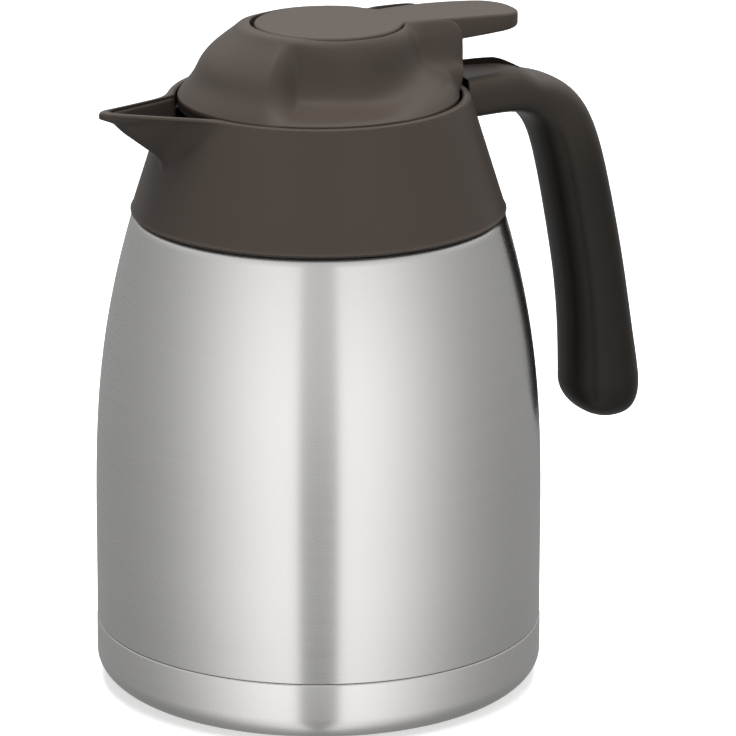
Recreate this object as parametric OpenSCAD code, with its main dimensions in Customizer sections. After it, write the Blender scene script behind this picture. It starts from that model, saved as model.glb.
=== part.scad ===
// Thermal carafe: double-walled steel vessel, moulded collar with a spout, hook handle,
// and a screw-in stopper whose lever opens a valve. Millimetres, +Z up, +X towards the handle.

/* [Vessel] */
// Radius of the steel body
body_r = 70; // [69:0.5:71]
// Height of the pressed-on base cup
base_h = 21; // [19:1:24]
// Height of the seam between steel and collar
seam_z = 151; // [149:1:152]
// Sheet thickness of the steel
sheet = 0.8; // [0.5:0.1:1]
// Inner radius of the vessel's mouth
mouth_r = 37.5; // [37.5:0.1:37.8]

/* [Collar] */
// Height of the collar's rim
rim_z = 188.5; // [187:0.5:190]
// Outer radius of the collar at its rim
rim_r = 46.6; // [46.2:0.1:47.2]
// Inner radius of the collar
bore_r = 44.1; // [44:0.1:44.3]
// Reach of the spout's tip from the axis
spout_reach = 72.4; // [68:0.5:76]
// Half the angle between the spout's walls, seen from above
spout_half_angle = 28; // [24:1:32]
// Rise of the thread in one turn
thread_lead = 26; // [22:1:26]
// Number of thread starts
thread_starts = 4; // [4]

/* [Handle] */
// Half width of the handle's root
root_half_w = 15.2; // [13:0.2:17]
// Half width of the grip
grip_half_w = 12.2; // [11:0.2:14]
// Height of the plate let in between the root's rails
plate_z = 189.8; // [189.2:0.2:190.4]

/* [Stopper lid] */
// Height of the lid's flat top
lid_top = 211; // [209:0.5:213]
// Radius of the round pressing plate
disc_r = 22.8; // [21:0.2:23]
// Gap around the lever
lever_gap = 1.2; // [0.8:0.1:1.4]
// Half width of the lid's rear bar
bar_half_w = 14.2; // [13.5:0.1:16]
// How far the lever's tail reaches behind the axis
lever_reach = 66.4; // [60:0.2:68]
// Radius of the lever's hinge pin
pin_r = 1.2; // [1:0.1:1.4]
// Radius of the valve stem
stem_r = 3; // [2.5:0.1:3]

/* [Hidden] */
$fn = 96;

steel = "#c9c9c7";
inner_steel = "#b9b9b6";
brown = "#5a4f48";
dark_brown = "#4a413b";
silicone = "#d8d4cc";
polymer = "#3b3734";

fit = 0.1;                        // easy fit between two pieces that meet
slack = 0.3;                      // room between the thread's lugs and ribs
neck_r = 41.3;                    // outside of the steel neck
neck_top = 169.2;                 // top of the steel neck
floor_z = rim_z - 15.9;           // floor of the collar's pouring ring
wall = 2.4;                       // thickness of the collar's moulded walls
taper = (58.2 - rim_r) / (rim_z - seam_z - 0.8);      // radius lost per millimetre of height
seat_z = 147;                     // underside of the valve seat
roof_z = 180;                     // roof of the pour chamber
skirt_r = 41.4;                   // stopper's threaded upper cylinder
plug_r = 34.8;                    // stopper's lower cylinder
flange_z = rim_z - 1.9;           // where the lid cover stands on the stopper body
rib_z = rim_z - 9.5;              // underside of each thread rib at its start
lid_r = 43.4;                     // lid's outer edge
block_r = 44.7;                   // rear of the lid, above the rim
disc_x = 3.2;                     // centre of the pressing plate
pin_x = -17;                      // lever's hinge pin
pin_z = lid_top - 6.2;
pocket_z = lid_top - 9.2;         // floor of the lever's pocket
rear_floor = lid_top - 14.6;      // floor of the notch behind it
cap_top = lid_top - 9;            // top of the stem cap

// ---- curves and lofts ----

function smooth(a, b, x) = let (t = min(1, max(0, (x - a) / (b - a)))) t * t * (3 - 2 * t);
function mix(a, b, t) = a * (1 - t) + b * t;
function soft_max(a, b, k) = let (h = max(k - abs(a - b), 0) / k) max(a, b) + h * h * k / 4;
function soft_min(a, b, k) = -soft_max(-a, -b, k);
function bezier(p, t) = len(p) == 1 ? p[0]
    : bezier([for (i = [0:len(p) - 2]) mix(p[i], p[i + 1], t)], t);
function curve(p, steps) = [for (i = [0:steps]) bezier(p, i / steps)];

// cubic B-spline through the control points p, held at both ends
function held(p) = concat([p[0], p[0]], p, [p[len(p) - 1], p[len(p) - 1]]);
function spline(p, u) = let (q = held(p), t = u * (len(q) - 3), i = min(floor(t), len(q) - 4), f = t - i)
    (q[i] * pow(1 - f, 3) + q[i + 1] * (3 * f * f * f - 6 * f * f + 4)
    + q[i + 2] * (-3 * f * f * f + 3 * f * f + 3 * f + 1) + q[i + 3] * f * f * f) / 6;

// quarter ellipse from the flat of a base out to its wall
function corner(r, z, a, b, steps) = [for (i = [0:steps]) let (t = 90 * i / steps)
    [r - a + a * sin(t), z + b - b * cos(t)]];

// closed outline of a sheet of thickness t that lies inside the path p
function side(p, i) = let (d = p[min(len(p) - 1, i + 1)] - p[max(0, i - 1)]) [d[1], -d[0]] / norm(d);
function sheet_outline(p, t) = concat(p, [for (i = [len(p) - 1:-1:0]) p[i] - t * side(p, i)]);

// solid between closed rings of points, each end closed by a fan
module loft(rings) {
    n = len(rings[0]);
    m = len(rings);
    mid = function (r) [for (k = [0:2]) [for (p = r) 1] * [for (p = r) p[k]] / n];
    points = concat([for (r = rings) each r], [mid(rings[0]), mid(rings[m - 1])]);
    walls = [for (i = [0:m - 2], j = [0:n - 1]) let (a = i * n + j, b = i * n + (j + 1) % n)
        each [[a, a + n, b + n], [a, b + n, b]]];
    ends = [for (j = [0:n - 1]) let (k = (j + 1) % n, top = (m - 1) * n)
        each [[m * n, j, k], [m * n + 1, top + k, top + j]]];
    polyhedron(points = points, faces = concat(walls, ends));
}

module tube(r_out, r_in, z0, z1) {
    translate([0, 0, z0]) difference() {
        cylinder(r = r_out, h = z1 - z0);
        translate([0, 0, -1]) cylinder(r = r_in, h = z1 - z0 + 2);
    }
}

// band of screw thread: from angle a0 over a sweep, its foot at height z0 and rising with the lead
module thread_band(a0, sweep, z0, height, r_in, r_out) {
    steps = ceil(sweep / 5);
    profile = [[r_in, 0], [r_in, height], [r_out, height], [r_out, 0]];
    loft([for (i = [0:steps]) let (turn = sweep * i / steps, a = a0 + turn)
        [for (p = profile) [p[0] * cos(a), p[0] * sin(a), z0 + thread_lead * turn / 360 + p[1]]]]);
}

// ---- steel vessel ----

body_curve = [[body_r - 0.15, 50], [body_r - 0.15, 84.7], [body_r - 0.9, 111.6], [57.95, seam_z - 0.8]];
shell_path = concat(
    [[body_r - 0.85, 10], [body_r - 0.85, base_h - 0.5], [body_r - 0.15, base_h + 0.2]],
    curve(body_curve, 18),
    [[57.5, seam_z - 0.2], [56.8, seam_z + 0.15]],
    curve([[56, seam_z + 0.4], [52, seam_z + 2.2], [46, seam_z + 6.5], [43, seam_z + 9.6]], 6),
    [[41.7, 162.2], [neck_r, 163.6], [neck_r, neck_top]]);

module outer_shell() {
    color(steel) rotate_extrude() polygon(sheet_outline(shell_path, sheet));
}

module base_cup() {
    path = concat([[0, 2.5], [47, 2.5], [49.5, 0]], corner(body_r, 0, 14, 9.5, 8),
        [[body_r, base_h - 0.8], [body_r - 0.2, base_h - 0.35]]);
    color(steel) rotate_extrude() polygon(sheet_outline(path, sheet - 0.1));
}

module inner_liner() {
    path = concat([[0, 9.8]], corner(64.4, 9.8, 15, 14, 8),
        curve([[64.4, 50], [64.4, 84.7], [63.4, 111.6], [52.5, 147.6]], 14),
        curve([[49, 150.6], [44, 154], [40, 157], [mouth_r + sheet, 160.6]], 5),
        [[mouth_r + sheet, neck_top - sheet]]);
    color(inner_steel) union() {
        rotate_extrude() polygon(sheet_outline(path, sheet));
        tube(neck_r - sheet, mouth_r, neck_top - sheet - 0.01, neck_top);
    }
}

module vessel_bottom() {
    r = body_r - 0.85 - sheet - fit;
    path = concat([[0, 5]], corner(r, 5, 12.2, 8, 6), [[r, 16]]);
    color(inner_steel) difference() {
        rotate_extrude() polygon(sheet_outline(path, sheet));
        translate([0, 0, 4]) cylinder(r = 1.2, h = 4);
    }
}

module radiation_foil() {
    color("#c8a27c") tube(65.2, 64.95, 26, 104);
}

getter_at = [26, 0, 5.85];

module getter_holder() {
    color(inner_steel) translate(getter_at) {
        tube(8, 7.4, 0, 2.4);
        cylinder(r = 8, h = 0.5);
    }
}

module getter_pellet() {
    color("#6c6c70") translate(getter_at + [0, 0, 0.55]) cylinder(r = 7, h = 1.6);
}

module vacuum_plug() {
    color("#8a8f94") rotate_extrude()
        polygon([[0, 3.6], [4, 3.9], [4.6, 4.95], [1.1, 4.95], [1.1, 6.4], [0, 6.4]]);
}

module neck_gasket() {
    color(silicone) tube(neck_r, mouth_r + 0.5, neck_top + 0.02, neck_top + 1.18);
}

// ---- collar and spout ----

collar_foot = seam_z + 0.8;
collar_h = rim_z - collar_foot;

function cone_r(z) = rim_r + taper * (rim_z - z);

// The spout's keel runs straight down to the cone; its nose turns out into a pouring lip.
keel_top = rim_z - 3.5;
function keel(z) = spout_reach - 5 + 1.3 * (z - keel_top - 1);
function nose(z) = min(spout_reach, keel(z) + 1.3 + 3 * smooth(keel_top, keel_top + 2.2, z));
function wall_reach(apex, a) = apex * tan(spout_half_angle)
    / (abs(sin(a)) + cos(a) * tan(spout_half_angle));
function spout_r(a, z) = let (lip = 1 - smooth(2, 9, abs(a)), n = mix(keel(z) + 1.3, nose(z), lip))
    soft_min(wall_reach(n + 4, a), min(n, spout_reach) + 0.6, 3.5);

// rim height: level, then rising a little along the spout
function top_z(r) = rim_z + 1.5 * max(0, r - rim_r) / (spout_reach - rim_r);

// angles round the collar, closer together at the spout, measured from the spout
spout_angles = concat([for (a = [0:1:6]) a], [for (a = [8:2.5:45.5]) a], [for (a = [50:6.5:180]) a]);
collar_angles = concat([for (i = [len(spout_angles) - 2:-1:1]) -spout_angles[i]], spout_angles);

function collar_r(a, z) = abs(a) > 60 ? cone_r(z) : soft_max(cone_r(z), spout_r(a, z), 5.5);

// one ring: height share v between foot and rim, inset for the rounded edges
function collar_ring(z, inset) = [for (a = collar_angles)
    let (lift = (top_z(collar_r(a, rim_z)) - rim_z) * smooth(keel_top - 3, rim_z, z),
        r = collar_r(a, z) - inset)
    [-r * cos(a), -r * sin(a), z + lift]];

module collar_skin() {
    // [height, inset], closer together where the spout comes out
    levels = concat([[0, 0.9], [0.35, 0.3], [0.9, 0]],
        [for (i = [1:13]) [collar_h * (1 - pow(1 - i / 13.5, 1.6)), 0]],
        [[collar_h - 0.5, 0.1], [collar_h - 0.2, 0.3], [collar_h, 0.8]]);
    loft([for (l = levels) collar_ring(collar_foot + l[0], l[1])]);
}

// space for the liquid between the spout's walls
module spout_channel() {
    angles = [for (a = [-24:2:24]) a];
    heights = [floor_z + 0.05, for (i = [0:5]) rim_z - 13.5 + 2.6 * i, rim_z + 2.5, rim_z + 7.5];
    loft([for (z = heights) let (n = min(spout_reach - 2.1, keel(z) - 2.2))
        concat([for (a = angles) let (r = max(40, soft_min(wall_reach(n + 4, a), n + 0.6, 3)))
            [-r * cos(a), -r * sin(a), z]],
        [for (i = [len(angles) - 1:-1:0]) [-30 * cos(angles[i]), -30 * sin(angles[i]), z]])]);
}

// hollow under the collar, between its skirt and its skin
module underside_hollow() {
    low = [[43.8, seam_z - 5], [43.8, 169.5], [cone_r(169.5) - wall, 169.5],
        [cone_r(seam_z) - wall, seam_z], [cone_r(seam_z) - wall, seam_z - 5]];
    high = [[44.6, 169], [bore_r + wall, 172], [bore_r + wall, 178.4], [cone_r(169) - wall, 169]];
    rotate_extrude() polygon(low);
    for (side = [-1, 1])
        rotate([0, 0, side * 85 - 62]) rotate_extrude(angle = 124) polygon(high);
}

// everything under the steel shoulder and neck
module under_shell(gap) {
    path = [for (i = [0:len(shell_path) - 1]) shell_path[i] + gap * side(shell_path, i)];
    rotate_extrude() polygon(concat([[0, 0]], path, [[0, neck_top]]));
}

tongue_x = 62;
screw_at = [[56, -5.5], [56, 5.5]];

module handle_tongue() {
    difference() {
        translate([46, -8, 180]) cube([tongue_x - 46, 16, 5]);
        for (p = screw_at) translate([p[0], p[1], 179]) cylinder(r = 1.55, h = 8);
    }
}

module collar() {
    color(brown) union() {
        difference() {
            collar_skin();
            translate([0, 0, floor_z]) cylinder(r = bore_r, h = 30);
            translate([0, 0, rim_z - 0.6]) cylinder(r1 = bore_r, r2 = bore_r + 1.2, h = 1.2);
            translate([0, 0, 160]) cylinder(r = mouth_r + 0.4, h = 20);
            translate([0, 0, neck_top - 2]) cylinder(r = neck_r + fit, h = 3.2);
            under_shell(fit);
            underside_hollow();
            spout_channel();
        }
        // thread ribs, rooted in the wall
        for (i = [0:thread_starts - 1])
            thread_band(22.5 + 90 * i, 45, rib_z, 2, bore_r - 1.9, bore_r + 1.3);
        handle_tongue();
    }
}

// ---- handle ----

handle_line = [[38, 183.7], [46, 183.7], [54, 183.9], [62, 184.2], [69.8, 183.2], [77.2, 179.8],
    [82.7, 173.2], [86.4, 162.5], [89.6, 148], [92.6, 133], [95.3, 117], [97.3, 101], [98.7, 90],
    [99.2, 84]];
// along the handle: share of its length, then half depth above, half depth below, half width, squareness
handle_sizes = [[0, 9.2, 5.8, root_half_w + 0.4, 3.4], [0.12, 9.8, 5.8, root_half_w, 3.4],
    [0.24, 9.2, 5.8, root_half_w - 0.8, 3.2], [0.32, 6.4, 7, grip_half_w + 1.2, 2.9],
    [0.42, 8.4, 9, grip_half_w + 0.2, 2.5], [0.52, 9.8, 9.8, grip_half_w, 2.4],
    [0.75, 10.9, 10.3, grip_half_w, 2.4], [0.88, 12.2, 12.4, grip_half_w, 2.4],
    [1, 13.2, 13.7, grip_half_w + 0.3, 2.4]];
function handle_size(u, k) = let (column = [for (s = handle_sizes) [s[0], s[k]]])
    (lookup(u - 0.04, column) + 2 * lookup(u, column) + lookup(u + 0.04, column)) / 4;
function along(u) = let (back = spline(handle_line, max(0, u - 0.01)),
    d = spline(handle_line, min(1, u + 0.01)) - back) d / norm(d);

// one section: a soft-cornered oval in the plane across the direction t, sizes scaled by s
function handle_ring(c, t, u, s) = let (out = [-t[1], t[0]], e = 2 / handle_size(u, 4))
    [for (k = [0:27]) let (a = 360 * k / 28, h = handle_size(u, sin(a) > 0 ? 1 : 2) * s
        * sign(sin(a)) * pow(abs(sin(a)), e))
        [c[0] + out[0] * h, handle_size(u, 3) * s * sign(cos(a)) * pow(abs(cos(a)), e), c[1] + out[1] * h]];

module handle_grip() {
    body = [for (i = [0:34]) handle_ring(spline(handle_line, i / 34), along(i / 34), i / 34, 1)];
    end = spline(handle_line, 1);
    // the rounded end leans outwards
    cap = [for (i = [1:7]) let (a = 90 * i / 7.4, s = pow(cos(a), 0.85), t = [0.08 - 0.34 * sin(a), -1])
        handle_ring(end + [2.4 * (1 - s), -12 * sin(a)], t / norm(t), 1, s)];
    loft(concat(body, cap));
}

// the plate between the rails: straight sides that draw in, round outer end
function plate_outline(d) = concat([[44, -11.6 - d], [54, -10.2 - d]],
    [for (a = [-70:10:70]) [60 + (9 + d) * cos(a), (9 + d) * sin(a)]], [[54, 10.2 + d], [44, 11.6 + d]]);

module around_collar(gap) {
    rotate_extrude() polygon([[0, seam_z], [cone_r(seam_z) + gap, seam_z],
        [cone_r(rim_z - 1) + gap, rim_z - 1], [rim_r + 0.5, 200], [0, 200]]);
}

module handle() {
    color(brown) difference() {
        handle_grip();
        around_collar(0.05);
        translate([0, 0, plate_z - 1.7]) linear_extrude(20) polygon(plate_outline(0));
        translate([40, -8.2, 179.8]) cube([tongue_x + 0.3 - 40, 16.4, 5.4]);
        for (p = screw_at) translate([p[0], p[1], 184]) {
            cylinder(r = 1.8, h = 10);
            translate([0, 0, 2.6]) cylinder(r = 3.3, h = 10);
        }
    }
}

module handle_cover() {
    color(dark_brown) difference() {
        translate([0, 0, plate_z - 1.65]) linear_extrude(1.65) polygon(plate_outline(-0.12));
        around_collar(0.3);
    }
}

module handle_screws() {
    color(steel) for (p = screw_at) translate([p[0], p[1], 0]) difference() {
        union() {
            translate([0, 0, 181]) cylinder(r = 1.5, h = 5.7);
            translate([0, 0, 186.62]) cylinder(r = 3, h = 1.4);
        }
        for (a = [0, 90]) rotate([0, 0, a]) translate([-1.7, -0.3, 187.3]) cube([3.4, 0.6, 2]);
    }
}

// ---- stopper ----

cone_z = 170.6;                   // where the stopper widens above the steel neck
bead_r = 36.4;
chamber_r = 32.6;

module stopper_body() {
    // beads above and below the seal's groove, then a cone out to the threaded skirt
    outer = [[34, seat_z], [plug_r, seat_z + 0.8], [plug_r, 150.8], [bead_r, 151.2], [bead_r, 152],
        [plug_r, 152], [plug_r, 160.4], [bead_r, 160.4], [bead_r, 161.4], [plug_r, 161.8],
        [plug_r, cone_z], [skirt_r, cone_z + 5.8], [skirt_r, flange_z - 2], [lid_r, flange_z - 1.2],
        [lid_r, flange_z]];
    // down the cup, over the stem's guide and through the pour chamber to the valve seat
    inner = [[39.4, flange_z], [39.4, roof_z + 2], [4.6, roof_z + 2], [4.6, roof_z + 6],
        [stem_r + 0.25, roof_z + 6], [stem_r + 0.25, 176.4], [5.1, 176.4], [5.1, 174], [7.2, 174],
        [7.2, roof_z], [39.2, roof_z], [39.2, cone_z + 7.6], [chamber_r, cone_z],
        [chamber_r, seat_z + 2], [12, seat_z + 2], [12, seat_z]];
    color(polymer) union() {
        difference() {
            rotate_extrude() polygon(concat(outer, inner));
            // pour window, towards the spout
            intersection() {
                translate([0, 0, cone_z + 0.6]) rotate([0, 0, 160])
                    rotate_extrude(angle = 40) square([60, 8]);
                tube(50, 24, 160, 185);
            }
        }
        for (i = [0:thread_starts - 1])
            thread_band(27.5 + 90 * i, 30, rib_z + thread_lead * 5 / 360 - slack - 2.4, 2.4,
                skirt_r - 0.5, bore_r - 0.5);
    }
}

module stopper_seal() {
    // ring with two sealing ribs
    color(silicone) rotate_extrude() polygon([[plug_r + fit, 152.2], [bead_r, 152.2], [36.6, 153.4],
        [mouth_r - 0.15, 154.2], [mouth_r - 0.15, 154.8], [36.2, 155.8], [36.2, 156.8],
        [mouth_r - 0.15, 157.8], [mouth_r - 0.15, 158.4], [36.6, 159.2], [bead_r, 160.2],
        [plug_r + fit, 160.2]]);
}

module stopper_foam() {
    color("#ece9e2") tube(36.8, 11, roof_z + 2.1, flange_z - 0.4);
}

module stem_seal() {
    color("#262626") translate([0, 0, 175.2]) rotate_extrude()
        translate([stem_r + 1.15, 0]) circle(r = 0.9, $fn = 32);
}

module valve_spring() {
    turns = 6;
    r = 5.8;
    wire = 0.45;
    z0 = roof_z + 2 + wire + 0.02;
    z1 = cap_top - 4 - wire - 0.02;
    steps = turns * 12;
    color(steel) loft([for (i = [0:steps]) let (a = 30 * i, z = mix(z0, z1, i / steps))
        [for (k = [0:5]) let (b = -60 * k, out = r + wire * cos(b))
            [out * cos(a), out * sin(a), z + wire * sin(b)]]]);
}

// ---- lid cover ----

// height of the pocket's floor under the lever, falling towards the rear
function pocket_floor(x) = mix(pocket_z, rear_floor, min(1, max(0, (x - 2) / 43)));

// reach of the wall that stands round the pressing plate and runs back as a bar
function wall_at(a) = let (disc = 3 * cos(a) + sqrt(pow(26.6, 2) - pow(3 * sin(a), 2)),
    bar = soft_min(bar_half_w / max(0.05, abs(sin(a))), block_r + 0.6, 4)) soft_max(disc, bar, 4);

// control points [radius, height] of the front dome, from the flange up to the flat top
dome = [[lid_r - 0.1, rim_z + 0.2], [41.7, rim_z + 2.5], [38.2, rim_z + 6.7], [36.5, lid_top - 11],
    [31.6, lid_top - 6.1], [25.6, lid_top - 1.8], [24.2, lid_top], [17, lid_top]];

// the same rows in the finger scoops: a floor that climbs towards the rear, and the wall at angle a
function scoop(a) = let (w = wall_at(a), s = min(a, 360 - a), rear = smooth(42, 22, s),
    f = rim_z + mix(1.5, 8.2, smooth(88, 24, s)))
    [for (p = [[lid_r - 0.1, rim_z + 0.2], [max(41.4, w + 10), mix(rim_z + 0.5, f, 0.55)],
        [max(w + 8.5, 37.5), f], [w + 3.4, f + 1.6], [w + 1.4, f + 8], [w + 0.6, lid_top - 4],
        [w - 2 - 1.5 * rear, lid_top + 0.3], [w - 9, lid_top]])
    [min(p[1] < rim_z + 1.5 ? lid_r - 0.1 : block_r, p[0]), p[1]]];

// angle from the front at which each row leaves the scoop, and at which it has become dome:
// the edge between them rises steeply from the flange, then sweeps back along the top
scoop_ends = [54, 54, 54, 54, 54, 66, 86, 86];
dome_starts = [38, 38, 38, 38, 38, 44, 58, 58];
function lid_point(a, u) = let (s = scoop(a), front = abs(a - 180))
    spline([for (i = [0:len(dome) - 1]) mix(s[i], dome[i], smooth(scoop_ends[i], dome_starts[i], front))], u);

module lid_skin() {
    half = [0, 6, 11, for (a = [14:2.5:34]) a, for (a = [38:6:122]) a, for (a = [125:2.5:145]) a,
        for (a = [151:6:175]) a];
    angles = concat(half, [180], [for (i = [len(half) - 1:-1:1]) 360 - half[i]]);
    around = function (p, a) [p[0] * cos(a), p[0] * sin(a), p[1]];
    loft(concat([for (z = [flange_z, rim_z - 0.2]) [for (a = angles) around([lid_r, z], a)]],
        [for (i = [0:18]) [for (a = angles) around(lid_point(a, i / 18), a)]]));
}

// hollow of the cover, 2 mm inside its skin and under the lever's pocket
module lid_hollow() {
    angles = [for (a = [0:10:350]) a];
    row = function (a) let (w = mix(wall_at(a), 36, smooth(48, 31, abs(a - 180))), near = min(37.4, w - 2.6),
        ceiling = pocket_floor(near * cos(a)) - 2)
        [[38, flange_z - 1], [37.6, flange_z + 0.4], [min(37.6, w), flange_z + 0.9], [near, rim_z + 1],
            [near, ceiling - 1.5], [near - 1.5, ceiling], [6, pocket_z - 2.2]];
    rows = [for (a = angles) [for (p = row(a)) [p[0] * cos(a), p[0] * sin(a), p[1]]]];
    loft([for (i = [0:6]) [for (r = rows) r[i]]]);
}

module lid_cover() {
    slot = lever_outline(lever_gap);
    color(brown) difference() {
        union() {
            difference() {
                lid_skin();
                lid_hollow();
                // pocket for the lever
                intersection() {
                    translate([0, 0, 150]) linear_extrude(80) polygon(slot);
                    rotate([90, 0, 0]) translate([0, 0, -40]) linear_extrude(80)
                        polygon([[-30, pocket_z], [2, pocket_z], [45, rear_floor], [80, rear_floor],
                            [80, 230], [-30, 230]]);
                }
            }
            // ears that hold the pin
            for (s = [-1, 1]) translate([pin_x, s * 12.2, 0]) {
                translate([0, 1.8, pin_z]) rotate([90, 0, 0]) cylinder(r = 2.5, h = 3.6);
                translate([-2.5, -1.8, pocket_z - 0.5]) cube([5, 3.6, pin_z - pocket_z + 0.5]);
            }
            tube(39.3, 38, flange_z - 3, flange_z + 0.3);
        }
        translate([0, 0, 190]) cylinder(r = 8.2, h = 13);
        translate([pin_x, 15.5, pin_z]) rotate([90, 0, 0]) cylinder(r = pin_r + 0.02, h = 31);
    }
}

module lever_pin() {
    color(steel) translate([pin_x, 15.4, pin_z]) rotate([90, 0, 0]) cylinder(r = pin_r, h = 30.8);
}

// ---- lever ----

// half width: a round plate that runs softly into a tail with a round end
function tail_w(x) = (11.7 - 0.0042 * pow(x - 45, 2))
    * (x < 57 ? 1 : pow(max(0, 1 - pow((x - 57) / (lever_reach + 0.2 - 57), 2.6)), 1 / 2.6));
function disc_w(x) = sqrt(max(0, pow(disc_r, 2) - pow(x - disc_x, 2)));
function lever_w(x) = x < 12 ? disc_w(x) : soft_max(disc_w(x), tail_w(x), 4);
function lever_top(x) = lid_top - 0.3 - 0.0011 * pow(max(0, x - 34), 2);
function lever_bottom(x) = lid_top - mix(3.3, 7.4, smooth(24, 43, x)) + 0.06 * max(0, x - 43);

lever_stations = concat([for (a = [3, 8, 14]) disc_x - disc_r * cos(a)],
    [for (a = [21:8:125]) disc_x - disc_r * cos(a)], [for (x = [18:3:57]) x],
    [for (a = [15:12:75]) 57 + (lever_reach - 57) * sin(a)], [lever_reach - 0.15]);

// outline seen from above, grown by the gap d; the far end stays open past the lid
function lever_outline(d) = let (
    xs = concat([for (a = [0:6:120]) disc_x - (disc_r + d) * cos(a)], [for (x = [18:2:60]) x]),
    half = [for (x = xs) [x, x > 12 ? lever_w(x) + d
        : sqrt(max(0, pow(disc_r + d, 2) - pow(x - disc_x, 2)))]])
    concat(half, [for (i = [len(half) - 1:-1:1]) [half[i][0], -half[i][1]]]);

// rounded section across the lever
function lever_ring(x) = let (w = max(0.4, lever_w(x)), h = (lever_top(x) - lever_bottom(x)) / 2,
    c = min(0.9, w * 0.8, h * 0.9), m = lever_top(x) - h)
    [for (q = [[1, 1], [-1, 1], [-1, -1], [1, -1]], k = [0:3])
        let (a = (q[0] > 0 ? (q[1] > 0 ? 0 : 270) : (q[1] > 0 ? 90 : 180)) + 30 * k)
        [x, q[0] * (w - c) + c * cos(a), m + q[1] * (h - c) + c * sin(a)]];

module lever() {
    nose_r = 3.4;
    color(brown) difference() {
        union() {
            loft([for (x = lever_stations) lever_ring(x)]);
            // hinge hub and its web
            translate([pin_x, 7, pin_z]) rotate([90, 0, 0]) cylinder(r = 2.45, h = 14);
            translate([pin_x - 1, -6, pin_z]) cube([3.4, 12, 3.6]);
            // nose that pushes the stem cap
            translate([0, 4, cap_top + 0.15 + nose_r]) rotate([90, 0, 0]) cylinder(r = nose_r, h = 8);
            translate([-2.6, -4, cap_top + 0.15 + nose_r]) cube([5.2, 8, 3.2]);
        }
        translate([pin_x, 12, pin_z]) rotate([90, 0, 0]) cylinder(r = pin_r + 0.06, h = 24);
        // the tail is cored from below, with ribs left across it
        for (x = [33, 41, 49]) translate([x, -7.6, 195]) cube([6.6, 15.2, lever_top(x + 6.6) - 2 - 195]);
    }
}

// ---- valve ----

module stem_cap() {
    color(polymer) difference() {
        translate([0, 0, cap_top - 4]) cylinder(r = 7.6, h = 4);
        translate([0, 0, cap_top - 5]) cylinder(r = stem_r + 0.02, h = 3.4);
    }
}

module valve_stem() {
    color(polymer) difference() {
        translate([0, 0, 145.5]) cylinder(r = stem_r, h = cap_top - 1.65 - 145.5);
        translate([0, 0, 145]) cylinder(r = 1.55, h = 7);
    }
}

module valve_plug() {
    color(polymer) difference() {
        rotate_extrude() polygon([[0, 139.5], [12, 139.5], [15.5, 143], [15.5, 145.5], [0, 145.5]]);
        translate([0, 0, 139]) cylinder(r = 1.65, h = 8);
        translate([0, 0, 139]) cylinder(r = 3.7, h = 2.5);
    }
}

module valve_gasket() {
    color(silicone) tube(14.6, 10.6, 145.52, seat_z - 0.08);
}

module valve_screw() {
    color(steel) difference() {
        union() {
            translate([0, 0, 141.4]) cylinder(r = 1.5, h = 9);
            translate([0, 0, 139.9]) cylinder(r = 3.4, h = 1.55);
        }
        for (a = [0, 90]) rotate([0, 0, a]) translate([-1.9, -0.35, 139]) cube([3.8, 0.7, 1.6]);
    }
}

outer_shell();
base_cup();
inner_liner();
vessel_bottom();
radiation_foil();
getter_holder();
getter_pellet();
vacuum_plug();
neck_gasket();
collar();
handle();
handle_cover();
handle_screws();
stopper_body();
stopper_seal();
stopper_foam();
lid_cover();
lever_pin();
lever();
stem_seal();
valve_spring();
stem_cap();
valve_stem();
valve_plug();
valve_gasket();
valve_screw();
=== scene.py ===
import math
import bmesh
import bpy
import numpy as np
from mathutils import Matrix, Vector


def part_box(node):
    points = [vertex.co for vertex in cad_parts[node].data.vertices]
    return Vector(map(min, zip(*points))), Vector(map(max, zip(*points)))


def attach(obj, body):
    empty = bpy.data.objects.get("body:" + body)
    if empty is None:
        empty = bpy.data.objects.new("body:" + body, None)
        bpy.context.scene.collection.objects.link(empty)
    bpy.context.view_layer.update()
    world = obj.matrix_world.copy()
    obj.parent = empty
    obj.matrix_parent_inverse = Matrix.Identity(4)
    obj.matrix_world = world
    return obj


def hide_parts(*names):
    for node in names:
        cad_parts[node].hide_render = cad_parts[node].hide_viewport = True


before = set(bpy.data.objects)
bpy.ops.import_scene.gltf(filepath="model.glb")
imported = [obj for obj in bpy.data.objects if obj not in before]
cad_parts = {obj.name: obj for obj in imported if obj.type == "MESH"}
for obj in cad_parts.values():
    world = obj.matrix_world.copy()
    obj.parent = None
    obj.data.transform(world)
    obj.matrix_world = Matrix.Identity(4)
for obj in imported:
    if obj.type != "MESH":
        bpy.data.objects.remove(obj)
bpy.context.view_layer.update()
print("frame loaded:", len(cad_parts), "nodes")

# Every shape below is worked out in millimetres, in the frame's own axes: +Z up, +X towards the handle.
millimetre = 0.001
# in metres: points nearer than the first are merged, edges shorter than the second are dropped
weldDistance, shortEdge = 2e-7, 1e-7


def span(node):
    low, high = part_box(node)
    return np.array(low) / millimetre, np.array(high) / millimetre


# ---- small maths on whole arrays ----

def smooth(a, b, x):
    # 0 at a and 1 at b, level at both; a may be the larger
    t = np.clip((x - a) / (b - a), 0, 1)
    return t * t * (3 - 2 * t)


def mix(a, b, t):
    return a * (1 - t) + b * t


def softMax(a, b, k):
    # the larger of two, blended where they differ by less than k
    h = np.maximum(k - np.abs(a - b), 0) / k
    return np.maximum(a, b) + h * h * k / 4


def softMin(a, b, k):
    return -softMax(-a, -b, k)


def steps(a, b, n):
    return np.linspace(a, b, n)


def bezier(points, t):
    # Bezier curve by repeated mixing of the control points
    rows = [np.array(p, float)[None, :] for p in points]
    t = np.asarray(t)[:, None]
    while len(rows) > 1:
        rows = [mix(rows[i], rows[i + 1], t) for i in range(len(rows) - 1)]
    return rows[0]


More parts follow.
